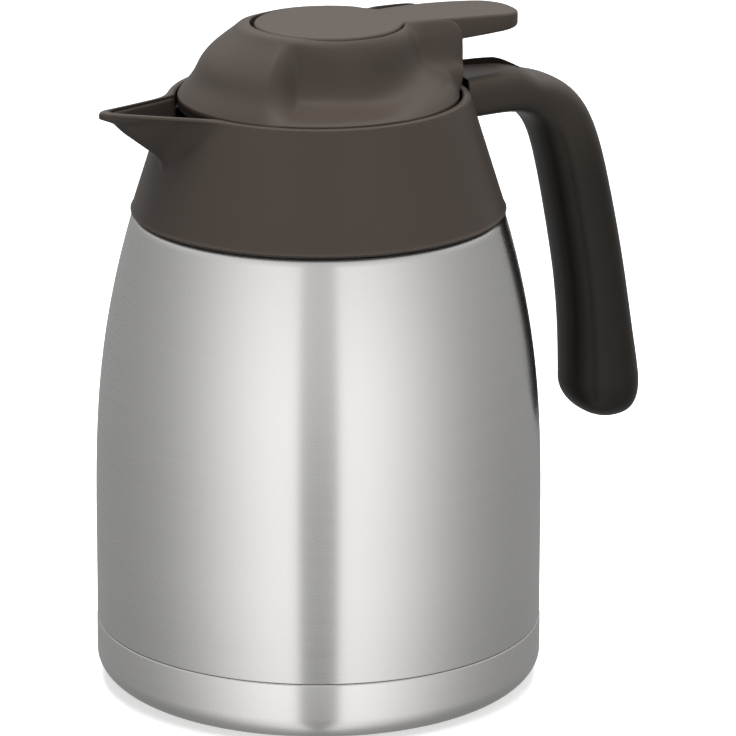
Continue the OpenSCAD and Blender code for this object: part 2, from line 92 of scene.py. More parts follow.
def spline(points, u):
    # cubic B-spline held at both ends; points (..., n, d), u (..., m) from 0 to 1
    held = np.concatenate([points[..., :1, :]] * 2 + [points] + [points[..., -1:, :]] * 2, axis=-2)
    t = u * (held.shape[-2] - 3)
    i = np.clip(np.floor(t).astype(int), 0, held.shape[-2] - 4)
    f = (t - i)[..., None]
    weights = [(1 - f) ** 3, 3 * f ** 3 - 6 * f ** 2 + 4, -3 * f ** 3 + 3 * f ** 2 + 3 * f + 1, f ** 3]
    return sum(w * np.take_along_axis(held, (i + k)[..., None], axis=-2) for k, w in enumerate(weights)) / 6


def rounded(path, radius, n=5):
    # polyline with each inner corner replaced by a short parabola that starts and ends radius away
    out = [np.array(path[0], float)]
    for before, here, after in zip(path[:-2], path[1:-1], path[2:]):
        before, here, after = (np.array(p, float) for p in (before, here, after))
        back, ahead = before - here, after - here
        reach = min(radius, 0.45 * np.linalg.norm(back), 0.45 * np.linalg.norm(ahead))
        start, end = here + back / np.linalg.norm(back) * reach, here + ahead / np.linalg.norm(ahead) * reach
        out.extend(bezier([start, here, end], steps(0, 1, n)))
    out.append(np.array(path[-1], float))
    return np.array(out)


def offsetPath(path, distance):
    # the path moved sideways, to the right of its direction
    d = np.gradient(path, axis=0)
    d /= np.linalg.norm(d, axis=1)[:, None]
    return path + distance * np.stack([d[:, 1], -d[:, 0]], axis=1)


# ---- surfaces ----

def gridFaces(rows, columns, wrap, first):
    # quads between neighbouring rings; every ring is closed, and the last ring meets the first if wrap
    index = np.arange(rows * columns).reshape(rows, columns)
    low = index if wrap else index[:-1]
    high = np.roll(index, -1, axis=0) if wrap else index[1:]
    quads = np.stack([low, np.roll(low, -1, 1), np.roll(high, -1, 1), high], axis=-1).reshape(-1, 4) + first
    if wrap:
        return quads.tolist()
    return quads.tolist() + [list(index[0][::-1] + first), list(index[-1] + first)]


def makePiece(name, grids, sharpAngle=40):
    # one closed mesh from grids of rings, each (rings, wrap) with rings as an array (rows, columns, 3)
    points, faces, count = [], [], 0
    for rings, wrap in grids:
        rows, columns = rings.shape[:2]
        points.append(rings.reshape(-1, 3))
        faces += gridFaces(rows, columns, wrap, count)
        count += rows * columns
    mesh = bpy.data.meshes.new(name)
    mesh.from_pydata((np.concatenate(points) * millimetre).tolist(), [], faces)
    shape = bmesh.new()
    shape.from_mesh(mesh)
    bmesh.ops.remove_doubles(shape, verts=shape.verts, dist=weldDistance)
    bmesh.ops.dissolve_degenerate(shape, edges=shape.edges, dist=shortEdge)
    bmesh.ops.recalc_face_normals(shape, faces=shape.faces)
    shape.to_mesh(mesh)
    shape.free()
    mesh.shade_smooth()
    mesh.set_sharp_from_angle(angle=math.radians(sharpAngle))
    piece = bpy.data.objects.new(name, mesh)
    bpy.context.scene.collection.objects.link(piece)
    return piece


def turned(r, z, a):
    # points at radius r and height z, turned by the angle a from the x axis
    r = r + 0 * a
    return np.stack([r * np.cos(a), r * np.sin(a), z + 0 * r], axis=-1)


def revolve(profile, columns=256):
    # a closed (radius, height) profile turned about the vertical axis
    return turned(profile[:, :1], profile[:, 1:], steps(0, 2 * math.pi, columns + 1)[:-1]), True


def sheetOf(path, thickness):
    # closed outline of a sheet whose outer face follows the path upwards
    return np.concatenate([path, offsetPath(path, -thickness)[::-1]])


def outward(outline):
    # unit normals of a closed outline that runs anticlockwise seen from above
    d = np.roll(outline, -1, axis=0) - np.roll(outline, 1, axis=0)
    d /= np.maximum(np.linalg.norm(d, axis=1), 1e-9)[:, None]
    return np.stack([d[:, 1], -d[:, 0]], axis=1)


def slab(outline, bottom, top, edge, inner=(), rise=None):
    # plate over an outline: its faces run in to the line y = 0, its edges are quarter rounds.
    # bottom and top give a height for x. rise(points, cored) lifts the middle of the underside, and
    # inner holds the rows where that starts and ends, as (y limit, cored)
    normal = outward(outline)
    turn = steps(0, math.pi / 2, 5)
    half = np.abs(outline[:, 1])

    def ring(inset, z, squeeze=None):
        p = outline - inset * normal
        if squeeze is not None:
            p = np.stack([p[:, 0], np.sign(p[:, 1]) * np.minimum(np.abs(p[:, 1]), squeeze)], axis=1)
        return np.concatenate([p, z(p)[:, None]], axis=1)

    rings = [ring(edge, lambda p: bottom(p[:, 0]) + (rise(p, True) if rise else 0), 0)]
    for y, cored in inner:
        rings.append(ring(edge, lambda p: bottom(p[:, 0]) + rise(p, cored), y))
    rings += [ring(edge, lambda p: bottom(p[:, 0]), f * half) for f in (0.75, 0.92)]
    rings += [ring(edge * (1 - np.sin(t)), lambda p: bottom(p[:, 0]) + edge * (1 - np.cos(t))) for t in turn]
    rings += [ring(edge * (1 - np.cos(t)), lambda p: top(p[:, 0]) - edge * (1 - np.sin(t))) for t in turn]
    rings += [ring(edge, lambda p: top(p[:, 0]), f * half) for f in (0.92, 0.75, 0.4, 0)]
    return np.stack(rings), False


def rod(centre, radius, halfLength, turn=48, edge=0.25):
    # round bar along y with eased ends
    a = steps(0, 2 * math.pi, turn + 1)[:-1]
    rows = []
    for y, r in [(-halfLength, radius - edge), (-halfLength + edge, radius), (halfLength - edge, radius),
                 (halfLength, radius - edge)]:
        rows.append(np.stack([centre[0] + r * np.cos(a), np.full(turn, centre[1] + y),
                              centre[2] + r * np.sin(a)], axis=1))
    return np.stack(rows), False


def softBlock(low, high, edge=0.3):
    # block with eased upright edges: four rings of a rounded rectangle
    turn = np.concatenate([steps(q, q + 90, 5) for q in (0, 90, 180, 270)]) * math.pi / 180
    signs = np.repeat([[1, 1], [-1, 1], [-1, -1], [1, -1]], 5, axis=0)
    middle, half = (np.array(low) + high) / 2, (np.array(high) - low) / 2
    corner = np.stack([np.cos(turn), np.sin(turn)], axis=1)
    rows = []
    for z, inset in [(low[2], edge), (low[2] + edge, 0), (high[2] - edge, 0), (high[2], edge)]:
        plan = middle[:2] + signs * (half[:2] - edge) + corner * (edge - inset)
        rows.append(np.column_stack([plan, np.full(len(plan), z)]))
    return np.stack(rows), False


# ---- shader maths ----

class Value:
    # a shader socket; arithmetic on it adds Math nodes
    def __init__(self, tree, socket):
        self.tree, self.socket = tree, socket

    def math(self, operation, *others):
        values = {i: v for i, v in enumerate((self, *others))}
        return self.tree.add("ShaderNodeMath", {"operation": operation}, values)

    def __add__(self, other): return self.math("ADD", other)
    def __radd__(self, other): return self.math("ADD", other)
    def __sub__(self, other): return self.math("SUBTRACT", other)
    def __rsub__(self, other): return self.tree.add("ShaderNodeMath", {"operation": "SUBTRACT"},
                                                    {0: other, 1: self})
    def __mul__(self, other): return self.math("MULTIPLY", other)
    def __truediv__(self, other): return self.math("DIVIDE", other)
    def __abs__(self): return self.math("ABSOLUTE")


class Tree:
    def __init__(self, nodeTree):
        self.nodeTree = nodeTree
        nodeTree.nodes.clear()

    def add(self, kind, settings=None, values=None, out=0):
        # one node: its settings first, then the values or links of its sockets
        node = self.nodeTree.nodes.new(kind)
        for key, value in (settings or {}).items():
            setattr(node, key, value)
        for key, value in (values or {}).items():
            if isinstance(value, Value):
                self.nodeTree.links.new(value.socket, node.inputs[key])
            else:
                node.inputs[key].default_value = value
        return Value(self, node.outputs[out])

    def place(self, scale=(1, 1, 1)):
        # Object coordinates in metres, stretched by scale
        here = self.add("ShaderNodeTexCoord", out="Object")
        return self.add("ShaderNodeMapping", None, {"Vector": here, "Scale": scale})

    def noise(self, scale, detail=2.0, stretch=(1, 1, 1)):
        return self.add("ShaderNodeTexNoise", None,
                        {"Vector": self.place(stretch), "Scale": scale, "Detail": detail})

    def axis(self, vector, name):
        return self.add("ShaderNodeSeparateXYZ", None, {0: vector}, name)

    def blend(self, colourA, colourB, factor):
        # factor 0 gives the first colour; a colour is three numbers or a socket
        both = (colour if isinstance(colour, Value) else (*colour, 1) for colour in (colourA, colourB))
        return self.add("ShaderNodeMix", {"data_type": "RGBA"}, dict(zip((0, 6, 7), (factor, *both))), 2)

    def ease(self, value, low, high):
        # smooth step; with low above high it falls instead of rising
        if low > high:
            return 1 - self.ease(value, high, low)
        return self.add("ShaderNodeMapRange", {"interpolation_type": "SMOOTHSTEP"},
                        {"Value": value, "From Min": low, "From Max": high})

    def toOutput(self, value, kind="ShaderNodeOutputMaterial"):
        self.nodeTree.links.new(value.socket, self.nodeTree.nodes.new(kind).inputs["Surface"])

    def bump(self, height, distance, strength):
        values = {"Height": height, "Distance": distance, "Strength": strength}
        return self.add("ShaderNodeBump", None, values)


def newMaterial(name):
    material = bpy.data.materials.new(name)
    material.use_nodes = True
    return material, Tree(material.node_tree)


def surfaceShader(tree, values):
    tree.toOutput(tree.add("ShaderNodeBsdfPrincipled", None, values))


# ---- materials ----

plastic = {"grain": 2600.0, "grainDepth": 0.000012, "tint": (1.0, 0.90, 0.84, 1.0), "inwardFrom": -0.001,
           "inwardTo": -0.006}


def mouldedPlastic(name, base, pale, roughness, ior, inward=1.0, low=None, fade=None):
    # satin moulded plastic: fine spark-eroded grain, slow drift of tone, faint handling marks.
    # inward dims the faces that look towards the axis, where less light gets in;
    # low is the colour below the heights in fade, in metres: painted shade, darker lower down where less of
    # the light from above falls
    material, tree = newMaterial(name)
    drift = tree.noise(22.0, 3.0)
    marks = tree.ease(tree.noise(160.0, 5.0), 0.52, 0.72)
    point, normal = tree.place(), tree.add("ShaderNodeNewGeometry", out="Normal")
    outwards = tree.axis(point, "X") * tree.axis(normal, "X") + tree.axis(point, "Y") * tree.axis(normal, "Y")
    shade = 1 - tree.ease(outwards, plastic["inwardFrom"], plastic["inwardTo"]) * (1 - inward)
    tone = tree.blend(base, pale, drift * 0.8 + marks * 0.2)
    # painted shade: the colour falls to low under the heights in fade
    if low:
        tone = tree.blend(low, tone, tree.ease(tree.axis(point, "Z"), *fade))
    texture = tree.noise(plastic["grain"], 1.0)
    surfaceShader(tree, {
        "Base Color": tree.blend((0, 0, 0), tone, shade),
        "Roughness": roughness - 0.03 + texture * 0.05 + marks * 0.02,
        "Specular Tint": plastic["tint"],
        "Normal": tree.bump(texture + marks * 0.3, plastic["grainDepth"], 0.6),
        "IOR": ior})
    return material


def brushedSteel(name, base, pale, roughness, anisotropic, hair, hairDepth):
    # steel brushed round its axis: hairlines run level, so light spreads up and down
    material, tree = newMaterial(name)
    hairline = tree.noise(1.0, 3.0, (14, 14, hair))
    broad = tree.noise(1.0, 2.0, (9, 9, 420))
    cloud = tree.noise(18.0, 2.0)
    upright = tree.add("ShaderNodeCombineXYZ", None, {"X": 0.0, "Y": 0.0, "Z": 1.0})
    surfaceShader(tree, {
        "Base Color": tree.blend(base, pale, hairline * 0.55 + broad * 0.3 + cloud * 0.15),
        "Metallic": 1.0,
        "Roughness": roughness - 0.05 + hairline * 0.07 + broad * 0.03,
        "Anisotropic": anisotropic,
        "Tangent": upright,
        "Normal": tree.bump(hairline * 0.6 + broad * 0.4, hairDepth, 0.7)})
    return material


def drawnSteel(name, base, roughness):
    # plain drawn sheet or bright fastener: soft lines along z and a little uneven polish
    material, tree = newMaterial(name)
    line = tree.noise(1.0, 3.0, (700, 700, 60))
    cloud = tree.noise(60.0, 3.0)
    darker = tuple(0.86 * c for c in base)
    surfaceShader(tree, {
        "Base Color": tree.blend(darker, base, line * 0.5 + cloud * 0.5),
        "Metallic": 1.0,
        "Roughness": roughness + cloud * 0.1 - 0.05,
        "Normal": tree.bump(line, 0.000004, 0.5)})
    return material


def softRubber(name, base, roughness, grainDepth=0.00001, scatter=0.0):
    # moulded silicone or rubber: slightly waxy, with a dusty bloom
    material, tree = newMaterial(name)
    bloom = tree.noise(90.0, 4.0)
    pale = tuple(min(1.0, 1.12 * c + 0.01) for c in base)
    surfaceShader(tree, {
        "Base Color": tree.blend(base, pale, tree.ease(bloom, 0.35, 0.7)),
        "Roughness": roughness + bloom * 0.08 - 0.04,
        "Subsurface Weight": scatter,
        "Subsurface Scale": 0.002,
        "Normal": tree.bump(tree.noise(1400.0), grainDepth, 0.5),
        "IOR": 1.42})
    return material


def foamPad(name, base):
    # closed-cell foam: small round cells
    material, tree = newMaterial(name)
    cells = tree.add("ShaderNodeTexVoronoi", None, {"Vector": tree.place(), "Scale": 1100.0})
    surfaceShader(tree, {
        "Base Color": tree.blend(tuple(0.8 * c for c in base), base, tree.ease(cells, 0.0, 0.5)),
        "Roughness": 0.85 + cells * 0.05,
        "Normal": tree.bump(cells, 0.00012, 0.6)})
    return material


def creasedFoil(name, base):
    # thin bright foil: sharp little creases
    material, tree = newMaterial(name)
    crease = tree.add("ShaderNodeTexVoronoi", None, {"Vector": tree.place((1, 1, 0.6)), "Scale": 180.0})
    surfaceShader(tree, {
        "Base Color": tree.blend(tuple(0.8 * c for c in base), base, crease),
        "Metallic": 1.0,
        "Roughness": 0.22 + crease * 0.1,
        "Normal": tree.bump(crease, 0.0002, 0.8)})
    return material


# linear colours; the lever and the plate on the handle catch a little more light than the rest
brown = {"base": (0.042, 0.0336, 0.0280), "pale": (0.050, 0.0400, 0.0333)}
paleBrown = {"base": (0.046, 0.0364, 0.0300), "pale": (0.055, 0.0436, 0.0360)}
steel = {"base": (0.71, 0.70, 0.685), "pale": (0.81, 0.80, 0.785), "roughness": 0.27, "anisotropic": 0.95,
         "hair": 9000.0, "hairDepth": 0.0000022}
looks = {
    "brown": (mouldedPlastic, {"name": "collar_plastic", **brown, "roughness": 0.42, "ior": 1.38,
                               "inward": 0.3}),
    "lid": (mouldedPlastic, {"name": "lid_plastic", **brown, "roughness": 0.40, "ior": 1.40}),
    "lever": (mouldedPlastic, {"name": "lever_plastic", **paleBrown, "roughness": 0.42, "ior": 1.38}),
    # the handle's low colour under the heights in fade is painted shade on the grip
    "handle": (mouldedPlastic, {"name": "handle_plastic", "base": (0.034, 0.0280, 0.0232),
                                "pale": (0.039, 0.0322, 0.0267), "roughness": 0.32, "ior": 1.33,
                                "low": (0.012, 0.0099, 0.0078), "fade": (0.150, 0.186)}),
    "cover": (mouldedPlastic, {"name": "handle_cover_plastic", **paleBrown, "roughness": 0.42, "ior": 1.38}),
    "stopper": (mouldedPlastic, {"name": "stopper_plastic", "base": (0.020, 0.018, 0.016),
                                 "pale": (0.026, 0.023, 0.021), "roughness": 0.36, "ior": 1.46}),
    "body": (brushedSteel, {"name": "body_steel", **steel}),
    "base": (brushedSteel, {"name": "base_steel", **steel}),
    "liner": (drawnSteel, {"name": "liner_steel", "base": (0.66, 0.66, 0.65), "roughness": 0.28}),
    "screw": (drawnSteel, {"name": "screw_steel", "base": (0.68, 0.68, 0.68), "roughness": 0.18}),
    "spring": (drawnSteel, {"name": "spring_steel", "base": (0.72, 0.72, 0.72), "roughness": 0.15}),
    "silicone": (softRubber, {"name": "silicone", "base": (0.72, 0.70, 0.66), "roughness": 0.45,
                              "scatter": 0.25}),
    "rubber": (softRubber, {"name": "black_rubber", "base": (0.014, 0.014, 0.014), "roughness": 0.55}),
    "foam": (foamPad, {"name": "foam", "base": (0.85, 0.84, 0.80)}),
    "foil": (creasedFoil, {"name": "copper_foil", "base": (0.75, 0.48, 0.34)}),
    "getter": (softRubber, {"name": "getter_powder", "base": (0.12, 0.12, 0.125), "roughness": 0.9,
                            "grainDepth": 0.00006}),
    "solder": (softRubber, {"name": "solder_glass", "base": (0.06, 0.07, 0.09), "roughness": 0.2,
                            "grainDepth": 0.000005})}
look = {key: make(**settings) for key, (make, settings) in looks.items()}
print("materials done")


def finish(piece, body, slot, material, *nodes):
    piece.data.materials.clear()
    piece.data.materials.append(look[material])
    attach(piece, body)
    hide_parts(*nodes)
    print(piece.name, "done:", len(piece.data.polygons), "faces")


# ---- steel body and base cup ----

vessel = {"bodyR": span("base_cup")[1][0], "baseH": 21.0, "seamZ": 151.0, "sheet": 0.8, "cupSheet": 0.6,
          "neckR": 41.3, "neckTop": span("outer_shell")[1][2], "lip": 0.45,
          # base cup: how far its corner reaches in and up, and the floor raised within its foot ring
          "cornerIn": 14, "cornerUp": 9.5, "floorR": 47, "floorZ": 2.5, "footR": 49.5, "footRound": 1.6}


def shellPath(v):
    # outside of the shell, from its hidden lower end up over the shoulder to the neck
    r, seam = v["bodyR"], v["seamZ"]
    wall = bezier([[r - 0.15, 50], [r - 0.15, 84.7], [r - 0.9, 111.6], [57.95, seam - 0.8]], steps(0, 1, 90))
    groove = [[57.5, seam - 0.2], [56.8, seam + 0.15]]
    bend = [[56, seam + 0.4], [52, seam + 2.2], [46, seam + 6.5], [43, seam + 9.6]]
    shoulder = bezier(bend, steps(0, 1, 16))
    foot = [[r - 0.85, 10], [r - 0.85, v["baseH"] - 0.5], [r - 0.5, v["baseH"] - 0.32],
            [r - 0.25, v["baseH"] - 0.05], [r - 0.15, v["baseH"] + 0.4]]
    neck = [[41.7, 162.2], [v["neckR"], 163.6], [v["neckR"], v["neckTop"]]]
    return np.concatenate([foot, wall, groove, shoulder, neck])


def basePath(v):
    # outside of the base cup, from the middle of its raised floor up to its rolled edge
    r = v["bodyR"]
    turn = steps(0, math.pi / 2, 24)
    across, up = v["cornerIn"], v["cornerUp"]
    corner = np.stack([r - across + across * np.sin(turn), up - up * np.cos(turn)], axis=1)
    floor = rounded([[0, v["floorZ"]], [v["floorR"], v["floorZ"]], [v["footR"], 0], [r - across, 0]],
                    v["footRound"])[:-1]
    top = v["baseH"] - 0.4
    edge = steps(0, math.pi / 2, 6)
    lip = np.stack([r - v["lip"] * (1 - np.cos(edge)), top - v["lip"] * (1 - np.sin(edge))], axis=1)
    return np.concatenate([floor, corner, lip])


finish(makePiece("steelBody", [revolve(sheetOf(shellPath(vessel), vessel["sheet"]))], sharpAngle=30),
       "carafe", "body_steel", "body", "outer_shell")
finish(makePiece("steelBase", [revolve(sheetOf(basePath(vessel), vessel["cupSheet"]))], sharpAngle=30),
       "carafe", "base_steel", "base", "base_cup")


# ---- collar and spout ----

collar = {"foot": 151.8, "rimZ": 188.5, "rimR": 46.6, "boreR": 44.1, "reach": 72.4, "halfAngle": 28.0,
          "floorZ": 172.6, "mouthR": 37.9, "neckR": 41.4, "edge": 0.8, "wall": 2.4, "footR": 58.2,
          "keelBack": 5, "keelSlope": 1.3, "keelOut": 1.3, "noseLong": 3, "noseHigh": 2.2, "apexOut": 4,
          "nearSpout": 60, "nearChannel": 40, "lipRise": 1.5,
          "threads": 4, "threadLead": 26.0, "threadZ": 179.0, "threadHigh": 2.0, "threadDeep": 1.9,
          "threadRoot": 0.4, "tongueLow": [47, -8, 180], "tongueHigh": [62, 8, 185]}
collar["taper"] = (collar["footR"] - collar["rimR"]) / (collar["rimZ"] - collar["foot"])
collar["keelTop"] = collar["rimZ"] - 3.5


def coneR(z):
    # outer radius of the collar away from the spout
    return collar["rimR"] + collar["taper"] * (collar["rimZ"] - z)


def keel(z):
    # reach of the spout's lower edge, without its nose
    return collar["reach"] - collar["keelBack"] + collar["keelSlope"] * (z - collar["keelTop"] - 1)


def wallReach(apex, a):
    # distance to a straight wall that leaves the apex at the spout's half angle
    slope = math.tan(math.radians(collar["halfAngle"]))
    return apex * slope / (np.abs(np.sin(a)) + np.cos(a) * slope)


def spoutR(a, z):
    # two straight walls that meet in a nose, which hangs over at the lip
    c = collar
    low = keel(z) + c["keelOut"]
    nose = np.minimum(c["reach"], low + c["noseLong"] * smooth(c["keelTop"], c["keelTop"] + c["noseHigh"], z))
    lip = 1 - smooth(2, 9, np.abs(np.degrees(a)))
    n = mix(low, nose, lip)
    return softMin(wallReach(n + c["apexOut"], a), np.minimum(n, c["reach"]) + 0.6, 3.5)


def collarR(a, z):
    near = softMax(coneR(z) + 0 * a, spoutR(a, z), 5.5)
    return np.where(np.abs(a) > math.radians(collar["nearSpout"]), coneR(z) + 0 * a, near)


def innerR(a, z):
    # bore, and the channel between the spout's walls
    n = np.minimum(collar["reach"] - 2.1, keel(z) - 2.2)
    channel = softMin(wallReach(n + collar["apexOut"], a), n + 0.6, 3)
    inside = np.abs(a) < math.radians(collar["nearChannel"])
    wide = softMax(collar["boreR"] + 0 * a, np.where(inside, channel, 0), 1.6)
    return np.where(inside, wide, collar["boreR"])


def threadRib(a0, sweep, z0, height, rIn, rOut, lead, n=40):
    # band of thread: a soft rectangle carried along a helix, its ends drawn down to nothing
    t = steps(0, 1, n)
    a = np.radians(a0 + sweep * t)[:, None]
    ease = np.minimum(1, 6 * np.minimum(t, 1 - t) + 0.25)[:, None]
    corners = rounded([[rOut, 0], [rOut, height], [rIn, height], [rIn, 0], [rOut, 0], [rOut, height]], 0.4,
                      n=3)[1:-1]
    r = rOut + (corners[:, 0] - rOut)[None, :] * ease
    z = z0 + lead * sweep * t[:, None] / 360 + corners[:, 1][None, :]
    return turned(r, z, a), False


def collarRings():
    # angles from the spout, closer together there
    s = steps(-1, 1, 481)[:-1]
    a = math.pi * (0.25 * s + 0.75 * s ** 3)
    c = collar
    crown = collarR(a, c["rimZ"])
    lift = c["lipRise"] * np.maximum(0, crown - c["rimR"]) / (c["reach"] - c["rimR"])
    mouth = innerR(a, c["rimZ"])
    edge = np.minimum(c["edge"], 0.48 * (crown - mouth))

    def ring(r, z, raised=True):
        z = z + 0 * a
        up = lift * smooth(c["keelTop"] - 3, c["rimZ"], z) if raised else 0
        return np.stack([-r * np.cos(a), -r * np.sin(a), z + up], axis=1)

    # up the outside from the foot, over the rim, and down the bore and the channel
    foot, turn = collarR(a, c["foot"]), steps(0, math.pi / 2, 7)
    rings = [ring(foot - c["edge"] * (1 - math.sin(t)), c["foot"] + c["edge"] * (1 - math.cos(t)))
             for t in steps(0, math.pi / 2, 5)]
    tall, rise = c["rimZ"] - c["foot"] - 2 * c["edge"], 1 - (1 - steps(0.01, 0.995, 84)) ** 1.4
    rings += [ring(collarR(a, z), z) for z in c["foot"] + c["edge"] + tall * rise]
    rings += [ring(crown - edge * (1 - math.cos(t)), c["rimZ"] - edge * (1 - math.sin(t))) for t in turn]
    rings += [ring(mouth + edge * (1 - math.sin(t)), c["rimZ"] - edge * (1 - math.cos(t))) for t in turn]
    rings += [ring(innerR(a, z), z) for z in steps(c["rimZ"] - 1.2, c["floorZ"] + 0.4, 40)]
    base = innerR(a, c["floorZ"])
    rings += [ring(mix(base, c["mouthR"] + 0.4, t), c["floorZ"], False) for t in (0.1, 0.5, 1)]
    # out of sight: the gasket's seat, the neck's recess and the inside of the skirt
    skirt = coneR(152) - c["wall"]
    hidden = [[c["mouthR"], c["floorZ"] - 0.4], [c["mouthR"], 170.4], [c["neckR"], 170.4],
              [c["neckR"], 163.6], [41.8, 162.3], [43.1, 160.7], [43.8, 160.2], [43.8, 169.5],
              [coneR(169.5) - c["wall"], 169.5], [skirt, c["foot"] + 0.3], [skirt + 0.3, c["foot"]]]
    rings += [ring(r, z, False) for r, z in hidden]
    return np.stack(rings), True


def collarPieces():
    # the moulding, its inner thread, and the tongue that the handle's root is pushed on to
    c = collar
    pitch = 360 / c["threads"]
    rib = (c["threadZ"], c["threadHigh"], c["boreR"] - c["threadDeep"], c["boreR"] + c["threadRoot"])
    ribs = [threadRib(pitch / 4 + pitch * i, pitch / 2, *rib, c["threadLead"]) for i in range(c["threads"])]
    return [collarRings(), *ribs, softBlock(c["tongueLow"], c["tongueHigh"])]


finish(makePiece("collarMoulding", collarPieces(), sharpAngle=50),
       "carafe", "collar_plastic", "brown", "collar")


# ---- handle and its cover ----

handle = {"line": [[38, 183.7], [46, 183.7], [54, 183.9], [62, 184.2], [69.8, 183.2], [77.2, 179.8],
                   [82.7, 173.2], [86.4, 162.5], [89.6, 148], [92.6, 133], [95.3, 117], [97.3, 101],
                   [98.7, 90], [99.2, 84]],
          # share of the length, half depth above, half depth below, half width, squareness
          "sizes": [[0, 5, 5.8, 15.6, 4.2], [0.12, 5, 5.8, 15.2, 4.2], [0.24, 4.8, 5.8, 14.6, 3.8],
                    [0.32, 5.4, 7, 13.4, 2.9], [0.42, 8.4, 9, 12.4, 2.5], [0.52, 9.8, 9.8, 12.2, 2.4],
                    [0.75, 10.9, 10.3, 12.2, 2.4], [0.88, 12.1, 12.6, 12.2, 2.4], [1, 12.3, 12.9, 12.4, 2.4]],
          "crest": 3.2, "crestFrom": (0, 0.11), "crestTo": (0.345, 0.275),
          "endFrom": 0.923, "endLong": 13.5, "endSquare": 2.13, "endShift": 3.3,
          "columns": 96, "foldAngle": 38}
plate = {"top": span("handle_cover")[1][2], "thick": 1.65, "pocketDeep": 1.7, "gap": 0.12, "edge": 0.3,
         "outerX": 60, "outerR": 9, "outerTurn": 70, "sideX": (44, 54), "sideY": (11.6, 10.2), "frontY": 11.4,
         "seatR": collar["rimR"] + 0.8}


def handleSize(u):
    table = np.array(handle["sizes"])
    shares = steps(-0.05, 0.05, 9)
    size = np.stack([np.mean([np.interp(u + s, table[:, 0], table[:, k]) for s in shares], axis=0)
                     for k in range(1, 5)], axis=1)
    # the root's rails stand up round the plate and end short of the bend
    size[:, 0] += handle["crest"] * smooth(*handle["crestFrom"], u) * smooth(*handle["crestTo"], u)
    return size


def sectionRings(centre, direction, size):
    # soft-cornered ovals in the planes across the line
    direction = direction / np.linalg.norm(direction, axis=1)[:, None]
    a = steps(0, 2 * math.pi, handle["columns"] + 1)[:-1][None, :]
    up, down, width, square = (size[:, k:k + 1] for k in range(4))
    power = 2 / square
    y = width * np.sign(np.cos(a)) * np.abs(np.cos(a)) ** power
    h = np.where(np.sin(a) > 0, up, down) * np.sign(np.sin(a)) * np.abs(np.sin(a)) ** power
    x, z = centre[:, :1] - direction[:, 1:] * h, centre[:, 1:] + direction[:, :1] * h
    return np.stack([x, y + 0 * h, z], axis=-1)


def handleRings():
    line = np.array(handle["line"], float)
    u = steps(0, handle["endFrom"], 200)
    centre = spline(line, u)
    ahead = spline(line, np.minimum(u + 0.01, 1)) - spline(line, np.maximum(u - 0.01, 0))
    ahead /= np.linalg.norm(ahead, axis=1)[:, None]
    body = sectionRings(centre, ahead, handleSize(u))
    # the rounded end: a superellipse along the line that swings outwards
    a, power = np.radians(steps(2, 89.5, 40)), 2 / handle["endSquare"]
    t, s = np.sin(a) ** power, (np.cos(a) ** power)[:, None]
    side = ahead[-1, 0] * handle["endLong"] * t + handle["endShift"] * t * t
    end = centre[-1] + np.stack([side, -handle["endLong"] * t], axis=1)
    size = handleSize(u[-1:]) * np.concatenate([s, s, s, s ** 0], axis=1)
    return np.concatenate([body, sectionRings(end, ahead[-1:] + 0 * end, size)]), False


def plateOutline(inset):
    # straight sides that draw in towards a round outer end, anticlockwise seen from above. The plate, which
    # has an inset, ends against the collar; its pocket, which has none, runs on under the collar
    turn = np.radians(steps(-plate["outerTurn"], plate["outerTurn"], 40))
    r = plate["outerR"] - inset
    end = np.stack([plate["outerX"] + r * np.cos(turn), r * np.sin(turn)], axis=1)
    sides = bezier([[x, -y + inset] for x, y in zip(plate["sideX"], plate["sideY"])], steps(0, 1, 20))
    outline = np.concatenate([sides, end, (sides * [1, -1])[::-1]])
    front = steps(0.9, -0.9, 13)[:, None] * [[0, plate["frontY"] - inset]]
    front[:, 0] = 40
    if inset > 0:
        near = np.sqrt(np.maximum(0, plate["seatR"] ** 2 - outline[:, 1] ** 2))
        outline[:, 0] = np.maximum(outline[:, 0], near)
        front[:, 0] = np.sqrt(plate["seatR"] ** 2 - front[:, 1] ** 2)
    return np.concatenate([outline, front])


def cutBy(piece, grid):
    # takes the closed solid of one grid out of the piece
    cutter = makePiece("cutter", [grid])
    cut = piece.modifiers.new("cut", "BOOLEAN")
    cut.operation, cut.object, cut.solver = "DIFFERENCE", cutter, "EXACT"
    done = bpy.data.meshes.new_from_object(piece.evaluated_get(bpy.context.evaluated_depsgraph_get()))
    piece.modifiers.clear()
    piece.data = done
    bpy.data.objects.remove(cutter)
    piece.data.shade_smooth()
    piece.data.set_sharp_from_angle(angle=math.radians(handle["foldAngle"]))


def prism(outline, z0, z1):
    # upright solid over an outline
    return np.stack([np.column_stack([outline, np.full(len(outline), z)]) for z in (z0, z1)]), False


# the root's end stands on the collar's cone, and above the rim on a round wall
rootSeat = np.array([[0, 151], [coneR(151), 151], [coneR(187.5), 187.5], [collar["rimR"] + 0.5, 200],
                     [0, 200]])

grip = makePiece("handleMoulding", [handleRings()], sharpAngle=60)
cutBy(grip, revolve(rootSeat))
cutBy(grip, prism(plateOutline(0), plate["top"] - plate["pocketDeep"], 230))
finish(grip, "carafe", "handle_plastic", "handle", "handle")

plateSlab = slab(plateOutline(plate["gap"]), lambda x: plate["top"] - plate["thick"] + 0 * x,
                 lambda x: plate["top"] + 0 * x, plate["edge"])
finish(makePiece("handlePlate", [plateSlab]), "carafe", "handle_cover_plastic", "cover", "handle_cover")


# ---- lid cover of the stopper ----

